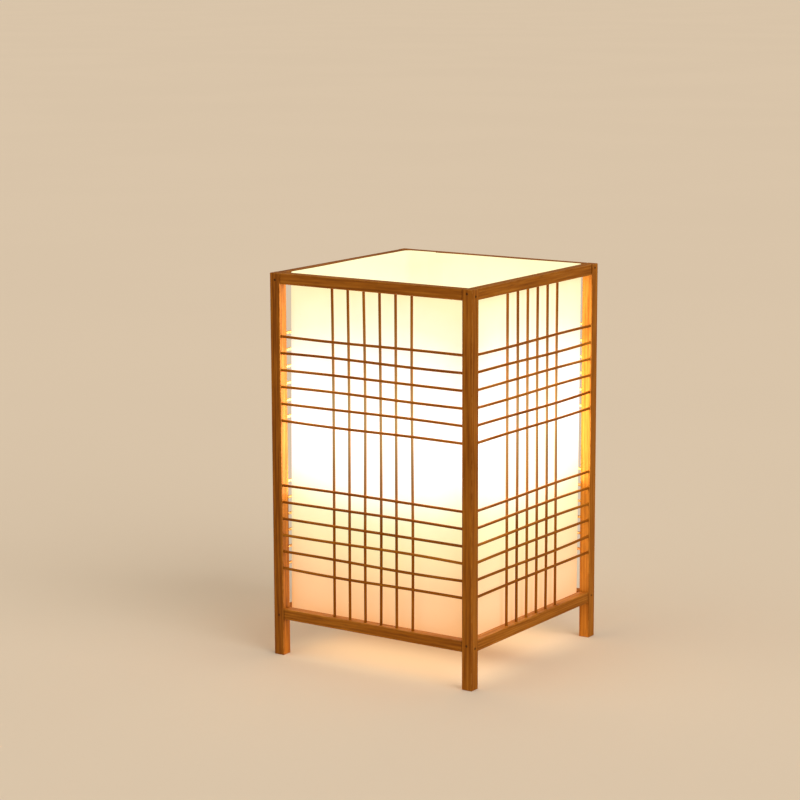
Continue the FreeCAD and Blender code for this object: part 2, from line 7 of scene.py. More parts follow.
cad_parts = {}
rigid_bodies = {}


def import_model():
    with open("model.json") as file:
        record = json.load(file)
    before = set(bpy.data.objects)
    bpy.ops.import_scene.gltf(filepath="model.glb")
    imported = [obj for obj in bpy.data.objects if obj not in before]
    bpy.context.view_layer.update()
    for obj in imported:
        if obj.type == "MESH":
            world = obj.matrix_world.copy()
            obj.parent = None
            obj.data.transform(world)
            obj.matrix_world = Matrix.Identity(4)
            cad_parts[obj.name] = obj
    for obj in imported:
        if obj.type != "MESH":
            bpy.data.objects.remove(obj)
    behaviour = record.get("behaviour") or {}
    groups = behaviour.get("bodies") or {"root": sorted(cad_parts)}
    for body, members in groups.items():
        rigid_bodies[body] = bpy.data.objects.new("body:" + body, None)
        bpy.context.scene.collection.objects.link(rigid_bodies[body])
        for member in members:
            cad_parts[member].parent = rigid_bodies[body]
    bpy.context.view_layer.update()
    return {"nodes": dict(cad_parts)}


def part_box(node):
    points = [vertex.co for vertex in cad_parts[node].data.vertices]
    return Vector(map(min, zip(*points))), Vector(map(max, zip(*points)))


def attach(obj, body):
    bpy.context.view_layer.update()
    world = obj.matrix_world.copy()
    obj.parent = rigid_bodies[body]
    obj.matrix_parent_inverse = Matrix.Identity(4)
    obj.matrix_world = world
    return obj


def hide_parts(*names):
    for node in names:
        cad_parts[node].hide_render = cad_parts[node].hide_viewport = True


# A lantern bedside lamp, lit from within: wooden posts and rails, a lattice of thin bamboo sticks, a folded
# translucent liner behind it, and a screw-in bulb on a hidden bar.
# Metres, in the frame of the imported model: +Z up, front towards -Y, right towards +X.

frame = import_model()
nodes = frame["nodes"]
scene = bpy.context.scene
scene.view_settings.view_transform = "Standard"

SIDES = ("front", "right", "rear", "left")
CORNERS = ("front_left", "front_right", "rear_right", "rear_left")


def paint(red, green, blue):
    """Linear colour of a shade given as it shows, 0 to 255."""
    return tuple(Color((red / 255, green / 255, blue / 255)).from_srgb_to_scene_linear())


def dimmed(colour, share):
    """A share of a colour's light."""
    return [channel * share for channel in colour]


# Camera of the photograph
CAMERA_AZIMUTH = 34.16  # degrees round from the front
CAMERA_ELEVATION = 10.44
CAMERA_ROLL = -0.215
CAMERA_TARGET = Vector((-0.0282, 0.0, 0.161))
CAMERA_DISTANCE = 1.6068
CAMERA_LENS = 110.56

# Studio
FLOOR_SIDE = 80.0
FLOOR_COLOUR = paint(226, 208, 184)
FLOOR_DIMMEST = 0.985
FLOOR_ROUGHNESS = 0.8
FOOT_MARGIN = 0.0002  # how far the clear spot under a foot stays within the foot
BACKDROP_COLOUR = paint(218, 197, 169)  # as the lit floor shows, so that no horizon stands out
SKY_COLOUR = paint(255, 248, 238)
SKY_STRENGTH = 0.60
STUDIO_LEVEL = 0.8  # how bright the studio shows a colour on the lamp's front
SUNS = (  # name, azimuth, elevation, spread in degrees, strength
    ("key_light", 78, 34, 50, 1.42),
    ("fill_light", -30, 30, 70, 0.45),
)

# Surfaces
SKINS = {  # how many clouds and how many grains lie in a metre
    "moulded": (90.0, 2600.0),
    "metal": (140.0, 3000.0),
    "sheet": (60.0, 900.0),
    "bulb": (80.0, 2000.0),
    "floor": (1.5, 400.0),
}
BUMPS = {  # how deep the bumps are, and how strongly they show
    "wood": (0.00006, 0.6),
    "bamboo": (0.00004, 0.5),
    "metal": (0.00003, 0.5),
    "sheet": (0.00005, 0.4),
    "bulb": (0.00003, 0.3),
}
MOULDED_BUMPS_SHOW = 0.5
MOULDED_ROUGHNESS = (-0.06, 0.08)  # how far a finish strays from its roughness
METAL_ROUGHNESS = (-0.08, 0.12)
STAIN_SHOWS = 0.55
NOISE_SPAN = (0.3, 0.7)  # most of a noise's values
FLAT = (1.0, 1.0, 0.0)  # leaves the part of a vector that is square to Z

# Places of the sockets that take part when a Mix node mixes colours, and a Random Value node draws numbers
MIX_FIRST = 6
MIX_SECOND = 7
MIX_RESULT = 2
DRAW_LEAST = 2
DRAW_MOST = 3
DRAW_RESULT = 1

# Figure of wood and bamboo: features in a metre across the grain, and each one's share of the tone
WANDER_SCALE = 70.0
STREAK_SCALE = 520.0
FIBRE_SCALE = 2600.0
PORE_SCALE = 4200.0
STREAK_DRAWN = (1.0, 1.0, 0.05)  # features lie closer across the grain than along it, in these proportions
FIBRE_DRAWN = (1.0, 1.0, 0.025)
STREAK_SPAN = (0.28, 0.72)
PORE_SPAN = (0.62, 0.72)
RING_WANDER = 0.008  # how far a ring strays from its circle
RING_TONE = 0.30
STREAK_TONE = 0.45
FIBRE_TONE = 0.28
RING_HEIGHT = 0.4  # of a fibre's height
TONE_SPAN = (0.1, 0.9)

# Wood of the frame
WOOD_SHADES = (  # tone of the figure, and shade there
    (0.12, paint(117, 61, 6)),
    (0.50, paint(149, 86, 14)),
    (0.92, paint(172, 107, 30)),
)
# Lighter along the edges: wear, and a painted highlight where an eased edge would catch the light
WOOD_WORN_AND_HIGHLIT = paint(190, 132, 60)
# Dark of the pores, and of the painted shadow in the seam at a butted end
WOOD_PORE_AND_SEAM_SHADOW = paint(86, 46, 10)
WOOD_ROUGHNESS = (0.74, 0.58)  # of its dark and of its pale figure
WOOD_SHEEN = 0.09
PORES_SHOW = 0.55
RING_SPACING = 0.0016
PLANK_STEP = (0.011, 0.007, 0.53)  # from one piece's place in the plank to the next one's
PLANK_PITH = (0.016, 0.022)  # the trunk's middle, from the first piece
TONE_SHIFT = (-0.10, 0.0, 0.10, -0.05, 0.03, 0.06, 0.05, 0.08, -0.03, 0.04)  # of each piece of the plank
EDGE_WEAR_AND_HIGHLIGHT = 0.0007  # how far wear and a painted highlight reach from an edge
WEAR_AND_HIGHLIGHT_SCALE = 240.0
WEAR_AND_HIGHLIGHT_SPAN = (0.35, 0.65)
WEAR_AND_HIGHLIGHT_REACH = (0.3, 1.4)  # of EDGE_WEAR_AND_HIGHLIGHT, from patch to patch
WEAR_AND_HIGHLIGHT_SHOWS = 0.25
UNWORN_UNHIGHLIT = 1.0  # added to a half length, it keeps wear and painted highlight off a piece's ends
END_SHADOW_REACH = 0.0009  # how far a painted shadow darkens a rail's end where it meets a post
END_SHADOW_SHOWS = 0.75

# Bamboo of the sticks
BAMBOO_SHADES = (
    (0.10, paint(117, 60, 2)),
    (0.50, paint(142, 79, 7)),
    (0.95, paint(168, 106, 24)),
)
BAMBOO_PITH_AND_LIGHT = paint(214, 154, 93)  # the side towards the liner: its pith, made paler besides by painted light from the liner
PITH_AND_LIGHT_TURN = (-0.4, -0.8)  # how far outwards a side looks where the pith and its painted light begin, and where it is bare
BAMBOO_ROUGHNESS = (0.58, 0.42)
BAMBOO_SHEEN = 0.06
BAMBOO_PORES_SHOW = 0.4
FIBRE_SPACING = 0.0005
STALK_MIDDLE = (0.31, 0.17, 0.0)  # far off, so that fibres lie side by side
STICK_TONES = 0.35  # how much the sticks' own tones count
STICKS_IN_ROW = 6
STICK_BOW = 0.0006
STICK_DRAWS = (("stick_bow", 1.0), ("stick_sway", 0.6), ("stick_tone", 0.5))  # at the most, either way
STICK_WAVES = (("stick_bow", 1.0), ("stick_sway", 2.0))  # half waves in a stick's length
STICK_SEEDS = {"upright": 0, "upper_band": 100, "lower_band": 200}
SIDE_SEED = 10  # from one side's seeds to the next side's
STICK_SECTIONS = 28
STICK_SEGMENTS = 16
STICK_GIRTH = (0.98, 1.05)  # of the nominal one, which still goes into the sockets
GIRTH_SCALE = 45.0

# Liner: one sheet folded by hand round four corners, from its seam at the rear to the seam again
LINER_WALL = 0.0005
FOLDS = (  # corner, and the fold's radius at the foot and at the top
    ("rear_left", 0.0063, 0.0049),
    ("front_left", 0.0029, 0.0083),
    ("front_right", 0.0063, 0.0049),
    ("rear_right", 0.0050, 0.0024),
)
FOLD_STEPS = 8
SHEET_STEP = 0.006
SHEET_ROWS = 8
SHARP_ANGLE = math.radians(35)
SEAM_SLIT = 0.0003
BAR_NOTCH = 0.0004  # clearance round the bar where the sheet lets it through
NOTCH_SLANT = 0.00005
TOP_SPARE = 0.0002  # how far the hand-cut top edge stands up at the least
TOP_WAVES = ((0.00012, 0.210, 0.6), (0.00008, 0.087, 2.0))  # height, length and start of that edge's waves

# What the lit liner shows: share of its height, and shade there
LINER_SHOWS = (
    (0.03, paint(252, 198, 149)),
    (0.13, paint(255, 213, 166)),
    (0.25, paint(255, 243, 192)),
    (0.33, paint(255, 256, 210)),
    (0.42, paint(266, 266, 258)),
    (0.55, paint(290, 290, 288)),
    (0.77, paint(266, 266, 258)),
    (0.87, paint(256, 256, 223)),
    (0.95, paint(255, 255, 208)),
)
LINER_INSIDE = (  # what its inner face gives off, besides what it reflects of the light inside
    (0.03, paint(196, 142, 96)),
    (0.25, paint(204, 164, 112)),
    (0.50, paint(206, 184, 140)),
    (0.75, paint(212, 196, 158)),
    (0.87, paint(227, 220, 184)),
    (0.98, paint(223, 216, 166)),
)
HOT_HEIGHT = 0.57  # share of the liner's height where it is brightest
HOT_RANGE = 0.2
# How much sooner the glow fades at a corner than in the middle of a side, in shares of the height
HOT_ROUNDNESS = 0.056
MEAN_ASIDE = 4 / 3  # mean square of the way from the axis along a side, where 1 is that of its middle
GLOW_STRENGTH = 1.5
GLOW_FALL = 0.12  # power of the way from the axis by which the glow weakens
GLOW_CLOUDS = (1.06, 1.12)
LINER_SHEET = paint(172, 168, 148)  # what it reflects of the studio's light
SHEET_DIMMEST = 0.94
SHEET_ROUGHNESS = (0.42, 0.56)
SHEET_SHEEN = 0.2
STRIP_SHINE = 0.96  # of the liner's glow

# Light that the liner throws on the rest of the lamp: unseen lamps, and a glow painted on the uprights
UPRIGHT_PAINTED_GLOW = (  # painted glow that the uprights give off for the liner's light coming through and round them, as they stand nearest to the liner
    (0.30, paint(0, 0, 0)),
    (0.44, paint(80, 80, 56)),
    (0.55, paint(110, 116, 82)),
    (0.63, paint(129, 133, 94)),
    (0.70, paint(117, 116, 76)),
    (0.77, paint(91, 88, 54)),
    (0.84, paint(70, 66, 36)),
    (0.92, paint(28, 26, 12)),
)
UPRIGHT_PAINTED_GLOW_STRENGTH = 1.0
SPILL = (  # shares of the height from and to; brightness on posts, rails, uprights and cross sticks
    (0.02, 0.36, 2.2, 1.2, 0.0, 0.3),
    (0.36, 0.60, 11.0, 10.0, 2.0, 6.2),
    (0.60, 0.78, 11.0, 10.0, 1.2, 5.2),
    (0.78, 0.98, 6.4, 6.4, 0.8, 1.8),
)
SPILL_COLOUR = paint(255, 248, 230)
STRAIGHT_SPILL = (  # what it throws straight out besides, on the backs of the cross sticks
    (0.02, 0.44, 1.8),
    (0.44, 0.98, 3.2),
)
STRAIGHT_SPREAD = math.radians(24)
PANEL_GAP = 0.0003  # from the liner to the panels that shine for it
POOL = (0.8, 19.0)  # light that leaves the open foot: on all below it, and on the frame besides
POOL_COLOUR = paint(255, 236, 214)

# Bulb
BULB_GLOW = paint(255, 250, 232)
BULB_NECK_GLOW = paint(255, 226, 170)
BULB_STRENGTH = 0.55
BULB_CLOUDS = 0.002  # how far clouds shift the change from neck to top
BULB_DIMMEST = 0.92
BULB_ROUGHNESS = (0.36, 0.46)
CHIP_COLOUR = paint(232, 190, 66)
DIFFUSER_COLOUR = paint(214, 210, 200)

# Lampholder
THREAD_PITCH = 0.001
THREAD_DEPTH = 0.0005
THREAD_ROWS = 6  # to a pitch
THREAD_SEGMENTS = 40
NIPPLE_BORE = 0.0038
GRIP_RIBS = 40
GRIP_RIB_RADIUS = 0.0006
GRIP_RIB_FACETS = 8
GRIP_RIB_SUNK = 0.0003
GRIP_FROM_RIM = 0.0012
GRIP_HEIGHT = 0.0076

METALS = (  # finish, colour, stain, roughness, marks in a metre, and the nodes that have it
    ("zinc_plate", paint(176, 174, 168), paint(138, 134, 124), 0.34, 2600.0,
     ("nipple_washer", "nipple_nut", "terminal_screws")),
    ("dulled_wire", (0.110, 0.045, 0.015), (0.070, 0.028, 0.009), 0.5, 4000.0, ("frame_brads",)),
    ("pressed_brass", (0.68, 0.46, 0.17), (0.45, 0.27, 0.09), 0.3, 2400.0, ("screw_shell", "centre_contact")),
    ("solder", (0.58, 0.58, 0.58), (0.45, 0.45, 0.46), 0.4, 1500.0, ("bulb_end_contact",)),
    ("nickel_plate", (0.66, 0.64, 0.60), (0.55, 0.52, 0.46), 0.22, 2400.0, ("bulb_cap_shell",)),
)
MOULDINGS = (  # finish, colour, second shade, roughness, depth of its skin, and the nodes that have it
    ("white_holder", paint(229, 227, 220), paint(235, 234, 229), 0.32, 0.00002,
     ("holder_cap", "holder_skirt")),
    ("black_nylon", (0.020, 0.020, 0.022), (0.032, 0.031, 0.030), 0.5, 0.00004, ("cord_bush",)),
    ("bare_ceramic", (0.72, 0.69, 0.62), (0.80, 0.78, 0.73), 0.7, 0.00008, ("holder_insert",)),
    ("black_glass", (0.012, 0.012, 0.014), (0.020, 0.020, 0.020), 0.2, 0.00002, ("bulb_cap_insulator",)),
    ("white_housing", (0.83, 0.83, 0.81), (0.87, 0.87, 0.85), 0.38, 0.00003, ("bulb_housing",)),
    ("board_mask", (0.80, 0.81, 0.80), (0.85, 0.86, 0.85), 0.45, 0.00002, ("led_board",)),
)


def plug(tree, value, socket):
    """Feeds a socket from another socket, or sets it to a plain value."""
    if isinstance(value, bpy.types.NodeSocket):
        tree.links.new(value, socket)
    else:
        socket.default_value = value


def place(tree, kind, settings=None, **feeds):
    """A new node; its feeds go to the inputs of those names, with underscores for spaces."""
    made = tree.nodes.new(kind)
    for name, value in (settings or {}).items():
        setattr(made, name, value)
    for name, value in feeds.items():
        plug(tree, value, made.inputs[name.replace("_", " ")])
    return made


def reckon(tree, operation, *values):
    """Result of a Math node."""
    made = place(tree, "ShaderNodeMath", {"operation": operation})
    for value, socket in zip(values, made.inputs):
        plug(tree, value, socket)
    return made.outputs[0]


def reckon_vector(tree, operation, *values):
    """Result of a Vector Math node: a number for a length or a dot product, otherwise a vector."""
    made = place(tree, "ShaderNodeVectorMath", {"operation": operation})
    for value, socket in zip(values, made.inputs):
        plug(tree, value, socket)
    return made.outputs["Value" if operation in ("LENGTH", "DOT_PRODUCT") else "Vector"]


def parts(tree, vector):
    """A vector's X, Y and Z."""
    return place(tree, "ShaderNodeSeparateXYZ", None, Vector=vector).outputs


def vector_of(tree, **axes):
    """A vector from its X, Y and Z; what isn't named is 0."""
    return place(tree, "ShaderNodeCombineXYZ", None, **axes).outputs[0]


def between(tree, value, low, high, new_low=0.0, new_high=1.0):
    """The value from low to high, eased onto a new range."""
    made = place(tree, "ShaderNodeMapRange", {"interpolation_type": "SMOOTHSTEP"}, Value=value, From_Min=low,
                 From_Max=high, To_Min=new_low, To_Max=new_high)
    return made.outputs["Result"]


def noise(tree, vector, scale, detail=2.0, roughness=0.5):
    return place(tree, "ShaderNodeTexNoise", None, Vector=vector, Scale=scale, Detail=detail,
                 Roughness=roughness).outputs["Fac"]


def attribute(tree, name):
    """A number that the mesh holds for each of its points."""
    return place(tree, "ShaderNodeAttribute", {"attribute_name": name}).outputs["Fac"]


def ramp(tree, factor, stops):
    """Colours along a factor; stops are (place, colour)."""
    made = place(tree, "ShaderNodeValToRGB", None, Fac=factor)
    elements = made.color_ramp.elements
    while len(elements) < len(stops):
        elements.new(0.5)
    for element, (spot, colour) in zip(elements, stops):
        element.position = spot
        element.color = (*colour, 1.0)
    return made.outputs["Color"]


def mixed(tree, factor, first, second):
    """One colour laid over another by a factor; a plain colour is three numbers."""
    made = place(tree, "ShaderNodeMix", {"data_type": "RGBA"})
    plug(tree, factor, made.inputs["Factor"])
    for colour, socket in ((first, made.inputs[MIX_FIRST]), (second, made.inputs[MIX_SECOND])):
        plug(tree, colour if isinstance(colour, bpy.types.NodeSocket) else (*colour, 1.0), socket)
    return made.outputs[MIX_RESULT]


def new_group(name, kind, given, results):
    """An empty node group with its sockets; given and results are name: socket kind."""
    tree = bpy.data.node_groups.new(name, kind)
    for side, sockets in (("INPUT", given), ("OUTPUT", results)):
        for socket, socket_kind in sockets.items():
            tree.interface.new_socket(socket, in_out=side, socket_type="NodeSocket" + socket_kind)
    return tree, tree.nodes.new("NodeGroupInput").outputs, tree.nodes.new("NodeGroupOutput").inputs


def wood_figure():
    """Growth rings, streaks, fibres and pores of wood whose grain runs along Z."""
    tree, given, result = new_group("wood_figure", "ShaderNodeTree",
                                    {"Vector": "Vector", "Ring Spacing": "Float", "Pith": "Vector"},
                                    {"Tone": "Float", "Pores": "Float", "Height": "Float"})
    drawn = reckon_vector(tree, "MULTIPLY", given["Vector"], STREAK_DRAWN)
    fine = reckon_vector(tree, "MULTIPLY", given["Vector"], FIBRE_DRAWN)
    across = reckon_vector(tree, "MULTIPLY", given["Vector"], FLAT)
    from_pith = reckon_vector(tree, "LENGTH", reckon_vector(tree, "ADD", across, given["Pith"]))
    wander = reckon(tree, "MULTIPLY", noise(tree, drawn, WANDER_SCALE), RING_WANDER)
    rings = reckon(tree, "DIVIDE", reckon(tree, "ADD", from_pith, wander), given["Ring Spacing"])
    there_and_back = reckon(tree, "MULTIPLY", reckon(tree, "FRACT", rings), 2.0)
    late = reckon(tree, "POWER", reckon(tree, "PINGPONG", there_and_back, 1.0), 2.0)
    streak = between(tree, noise(tree, drawn, STREAK_SCALE, detail=3.0, roughness=0.6), *STREAK_SPAN)
    fibre = noise(tree, fine, FIBRE_SCALE)
    pores = between(tree, noise(tree, fine, PORE_SCALE, detail=1.0), *PORE_SPAN)
    tone = reckon(tree, "ADD", reckon(tree, "MULTIPLY", late, RING_TONE),
                  reckon(tree, "MULTIPLY", streak, STREAK_TONE))
    tone = reckon(tree, "ADD", tone, reckon(tree, "MULTIPLY", fibre, FIBRE_TONE))
    height = reckon(tree, "ADD", fibre, reckon(tree, "MULTIPLY", late, RING_HEIGHT))
    plug(tree, tone, result["Tone"])
    plug(tree, pores, result["Pores"])
    plug(tree, reckon(tree, "SUBTRACT", height, pores), result["Height"])
    return tree


def edge_wear():
    """Where a square piece, centred and square to the axes, is rubbed along its edges and lightened there by
    a painted highlight.
    """
    tree, given, result = new_group("edge_wear", "ShaderNodeTree",
                                    {"Vector": "Vector", "Half Size": "Vector", "Width": "Float"},
                                    {"Wear": "Float"})
    away = reckon_vector(tree, "ABSOLUTE", given["Vector"])
    depth = parts(tree, reckon_vector(tree, "SUBTRACT", given["Half Size"], away))
    pairs = [reckon(tree, "ADD", depth[a], depth[b]) for a, b in ((0, 1), (1, 2), (0, 2))]
    nearest = reckon(tree, "MINIMUM", reckon(tree, "MINIMUM", pairs[0], pairs[1]), pairs[2])
    patchy = between(tree, noise(tree, given["Vector"], WEAR_AND_HIGHLIGHT_SCALE, detail=3.0), *WEAR_AND_HIGHLIGHT_SPAN, *WEAR_AND_HIGHLIGHT_REACH)
    width = reckon(tree, "MULTIPLY", given["Width"], patchy)
    plug(tree, between(tree, nearest, 0.0, width, 1.0, 0.0), result["Wear"])
    return tree


def mottle():
    """Clouds and fine grain for moulded, cast and rolled surfaces."""
    tree, given, result = new_group("mottle", "ShaderNodeTree",
                                    {"Vector": "Vector", "Cloud Scale": "Float", "Grain Scale": "Float"},
                                    {"Cloud": "Float", "Grain": "Float"})
    clouds = noise(tree, given["Vector"], given["Cloud Scale"], detail=3.0)
    plug(tree, between(tree, clouds, *NOISE_SPAN), result["Cloud"])
    plug(tree, noise(tree, given["Vector"], given["Grain Scale"], roughness=0.6), result["Grain"])
    return tree


def turned_marks():
    """Fine rings left by turning or pressing about the lamp's upright axis."""
    tree, given, result = new_group("turned_marks", "ShaderNodeTree",
                                    {"Vector": "Vector", "Scale": "Float"}, {"Marks": "Float"})
    radius = reckon_vector(tree, "LENGTH", reckon_vector(tree, "MULTIPLY", given["Vector"], FLAT))
    section = vector_of(tree, X=radius, Y=parts(tree, given["Vector"])["Z"])
    plug(tree, noise(tree, section, given["Scale"]), result["Marks"])
    return tree


WOOD_FIGURE = wood_figure()
WORN_AND_HIGHLIT_EDGES_GROUP = edge_wear()
MOTTLE = mottle()
TURNED_MARKS = turned_marks()


def new_material(name, **constants):
    """A material with its Principled shader; constants set the shader's own sockets."""
    material = bpy.data.materials.new(name)
    material.use_nodes = True
    tree = material.node_tree
    shader = tree.nodes["Principled BSDF"]
    for socket, value in constants.items():
        shader.inputs[socket.replace("_", " ")].default_value = value
    spot = place(tree, "ShaderNodeTexCoord").outputs["Object"]
    return material, tree, shader.inputs, spot


def use(tree, group, **feeds):
    """Places a shared node group and returns its outputs."""
    return place(tree, "ShaderNodeGroup", {"node_tree": group}, **feeds).outputs


def skin_of(tree, spot, kind):
    """Clouds and grain of one kind of surface."""
    clouds, grain = SKINS[kind]
    return use(tree, MOTTLE, Vector=spot, Cloud_Scale=clouds, Grain_Scale=grain)


def raise_grain(tree, shader, height, depth, strength):
    """Bump from a height that changes over the surface."""
    bump = place(tree, "ShaderNodeBump", None, Strength=strength, Distance=depth, Height=height)
    plug(tree, bump.outputs["Normal"], shader["Normal"])


# How a piece lies: the turn that lays a texture's Z along it, and the order of its sides after that turn
LIES = {
    "upright": (Euler((0.0, 0.0, 0.0)), (0, 1, 2)),
    "across": (Euler((0.0, math.pi / 2, 0.0)), (2, 1, 0)),
    "deep": (Euler((-math.pi / 2, 0.0, 0.0)), (0, 2, 1)),
}


def run_of(side):
    """The level axis along a side of the lamp, and how a piece lies along it."""
    return (0, "across") if side in ("front", "rear") else (1, "deep")


def wood(node, lie, number, butted):
    """Oiled wood for one piece, from its own place in the plank, its edges lighter with wear and a painted
    highlight; butted ends meet other pieces and are darkened there by a painted shadow.
    """
    material, tree, shader, spot = new_material("wood_" + node, Specular_IOR_Level=WOOD_SHEEN)
    low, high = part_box(node)
    turn, order = LIES[lie]
    half = [(high - low)[i] / 2 for i in order]
    laid = place(tree, "ShaderNodeMapping", {"vector_type": "TEXTURE"}, Vector=spot,
                 Location=(low + high) / 2, Rotation=turn).outputs[0]
    shift = [step * number for step in PLANK_STEP]
    pith = (PLANK_PITH[0] - shift[0], PLANK_PITH[1] - shift[1], 0.0)
    figure = use(tree, WOOD_FIGURE, Vector=reckon_vector(tree, "ADD", laid, shift),
                 Ring_Spacing=RING_SPACING, Pith=pith)
    rubbed = (half[0], half[1], half[2] + (UNWORN_UNHIGHLIT if butted else 0.0))
    wear_and_highlight = use(tree, WORN_AND_HIGHLIT_EDGES_GROUP, Vector=laid, Half_Size=rubbed, Width=EDGE_WEAR_AND_HIGHLIGHT)["Wear"]
    tone = reckon(tree, "ADD", figure["Tone"], TONE_SHIFT[number % len(TONE_SHIFT)])
    colour = ramp(tree, tone, WOOD_SHADES)
    colour = mixed(tree, reckon(tree, "MULTIPLY", figure["Pores"], PORES_SHOW), colour, WOOD_PORE_AND_SEAM_SHADOW)
    # Edges lighter with wear and a painted highlight
    colour = mixed(tree, reckon(tree, "MULTIPLY", wear_and_highlight, WEAR_AND_HIGHLIGHT_SHOWS), colour, WOOD_WORN_AND_HIGHLIT)
    # A butted end is darkened by a painted shadow in its seam
    if butted:
        along = reckon(tree, "ABSOLUTE", parts(tree, laid)["Z"])
        ends = between(tree, along, half[2] - END_SHADOW_REACH, half[2], 0.0, END_SHADOW_SHOWS)
        colour = mixed(tree, ends, colour, WOOD_PORE_AND_SEAM_SHADOW)
    plug(tree, colour, shader["Base Color"])
    plug(tree, between(tree, figure["Tone"], *TONE_SPAN, *WOOD_ROUGHNESS), shader["Roughness"])
    raise_grain(tree, shader, figure["Height"], *BUMPS["wood"])
    return material


def up_the_liner(tree, spot):
    """How far up the liner a spot is, from 0 to 1."""
    low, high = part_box("liner")
    height = parts(tree, spot)["Z"]
    made = place(tree, "ShaderNodeMapRange", None, Value=height, From_Min=low.z, From_Max=high.z)
    return made.outputs["Result"]


def bamboo(lie):
    """Split and rounded bamboo, paler on its pith side towards the liner, partly by painted light; each stick
    has its own tone, and the uprights give off a painted glow.
    """
    material, tree, shader, spot = new_material("bamboo_" + lie, Specular_IOR_Level=BAMBOO_SHEEN)
    laid = place(tree, "ShaderNodeMapping", {"vector_type": "TEXTURE"}, Vector=spot,
                 Rotation=LIES[lie][0]).outputs[0]
    figure = use(tree, WOOD_FIGURE, Vector=laid, Ring_Spacing=FIBRE_SPACING, Pith=STALK_MIDDLE)
    own = reckon(tree, "MULTIPLY", attribute(tree, "stick_tone"), STICK_TONES)
    colour = ramp(tree, reckon(tree, "ADD", figure["Tone"], own), BAMBOO_SHADES)
    colour = mixed(tree, reckon(tree, "MULTIPLY", figure["Pores"], BAMBOO_PORES_SHOW), colour, WOOD_PORE_AND_SEAM_SHADOW)
    # The side that looks in towards the liner is paler: the pith, and painted light from the liner on it
    normal = place(tree, "ShaderNodeNewGeometry").outputs["Normal"]
    outward = reckon_vector(tree, "DOT_PRODUCT", reckon_vector(tree, "MULTIPLY", spot, FLAT), normal)
    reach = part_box("upright_sticks_right")[1].x
    pith = between(tree, outward, *[share * reach for share in PITH_AND_LIGHT_TURN])
    plug(tree, mixed(tree, pith, colour, BAMBOO_PITH_AND_LIGHT), shader["Base Color"])
    plug(tree, between(tree, figure["Tone"], *TONE_SPAN, *BAMBOO_ROUGHNESS), shader["Roughness"])
    # The uprights give off a painted glow along the liner's height
    if lie == "upright":
        plug(tree, ramp(tree, up_the_liner(tree, spot), UPRIGHT_PAINTED_GLOW), shader["Emission Color"])
        plug(tree, UPRIGHT_PAINTED_GLOW_STRENGTH, shader["Emission Strength"])
        material.cycles.emission_sampling = "NONE"  # too faint to light anything else
    raise_grain(tree, shader, figure["Height"], *BUMPS["bamboo"])
    return material


def moulded(name, colour, shade, roughness, skin_depth):
    """Moulded plastic or fired ceramic: faint clouds of a second shade and a fine skin."""
    material, tree, shader, spot = new_material(name)
    skin = skin_of(tree, spot, "moulded")
    rough = [roughness + stray for stray in MOULDED_ROUGHNESS]
    plug(tree, mixed(tree, skin["Cloud"], colour, shade), shader["Base Color"])
    plug(tree, between(tree, skin["Grain"], *NOISE_SPAN, *rough), shader["Roughness"])
    raise_grain(tree, shader, skin["Grain"], skin_depth, MOULDED_BUMPS_SHOW)
    return material


def metal(name, colour, stain, roughness, mark_scale):
    """Turned or pressed metal with faint rings and a stain that comes and goes."""
    material, tree, shader, spot = new_material(name, Metallic=1.0)
    stained = reckon(tree, "MULTIPLY", skin_of(tree, spot, "metal")["Cloud"], STAIN_SHOWS)
    marks = use(tree, TURNED_MARKS, Vector=spot, Scale=mark_scale)["Marks"]
    rough = [roughness + stray for stray in METAL_ROUGHNESS]
    plug(tree, mixed(tree, stained, colour, stain), shader["Base Color"])
    plug(tree, between(tree, marks, *NOISE_SPAN, *rough), shader["Roughness"])
    raise_grain(tree, shader, marks, *BUMPS["metal"])
    return material


def lit_sheet(name, shine, outer_face):
    """Frosted translucent sheet, lit from within: white beside the bulb, dim and warm at its foot."""
    material, tree, shader, spot = new_material(name, Emission_Strength=GLOW_STRENGTH,
                                                Specular_IOR_Level=SHEET_SHEEN)
    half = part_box("liner")[1].x
    reach = reckon_vector(tree, "LENGTH", reckon_vector(tree, "MULTIPLY", spot, FLAT))
    aside = reckon(tree, "POWER", reckon(tree, "DIVIDE", reach, half), 2.0)
    later = reckon(tree, "MULTIPLY", reckon(tree, "SUBTRACT", aside, MEAN_ASIDE), HOT_ROUNDNESS)
    share = up_the_liner(tree, spot)
    above = between(tree, share, HOT_HEIGHT - HOT_RANGE, HOT_HEIGHT + HOT_RANGE, -1.0, 1.0)
    share = reckon(tree, "ADD", share, reckon(tree, "MULTIPLY", later, above))
    glow = ramp(tree, share, [(at, Vector(shade) / GLOW_STRENGTH) for at, shade in LINER_INSIDE])
    if outer_face:
        reflected = Vector(LINER_SHEET) * STUDIO_LEVEL
        stops = [(at, (Vector(shade) - reflected) / GLOW_STRENGTH) for at, shade in LINER_SHOWS]
        glow = mixed(tree, attribute(tree, "inner_face"), ramp(tree, share, stops), glow)
    fall = reckon(tree, "POWER", reckon(tree, "DIVIDE", half, reach), GLOW_FALL)
    skin = skin_of(tree, spot, "sheet")
    cloudy = between(tree, skin["Cloud"], 0.0, 1.0, *[level * shine for level in GLOW_CLOUDS])
    light = place(tree, "ShaderNodeVectorMath", {"operation": "SCALE"}, Vector=glow,
                  Scale=reckon(tree, "MULTIPLY", fall, cloudy)).outputs["Vector"]
    plug(tree, light, shader["Emission Color"])
    colour = mixed(tree, skin["Cloud"], LINER_SHEET, dimmed(LINER_SHEET, SHEET_DIMMEST))
    plug(tree, colour, shader["Base Color"])
    plug(tree, between(tree, skin["Grain"], *NOISE_SPAN, *SHEET_ROUGHNESS), shader["Roughness"])
    raise_grain(tree, shader, skin["Grain"], *BUMPS["sheet"])
    return material


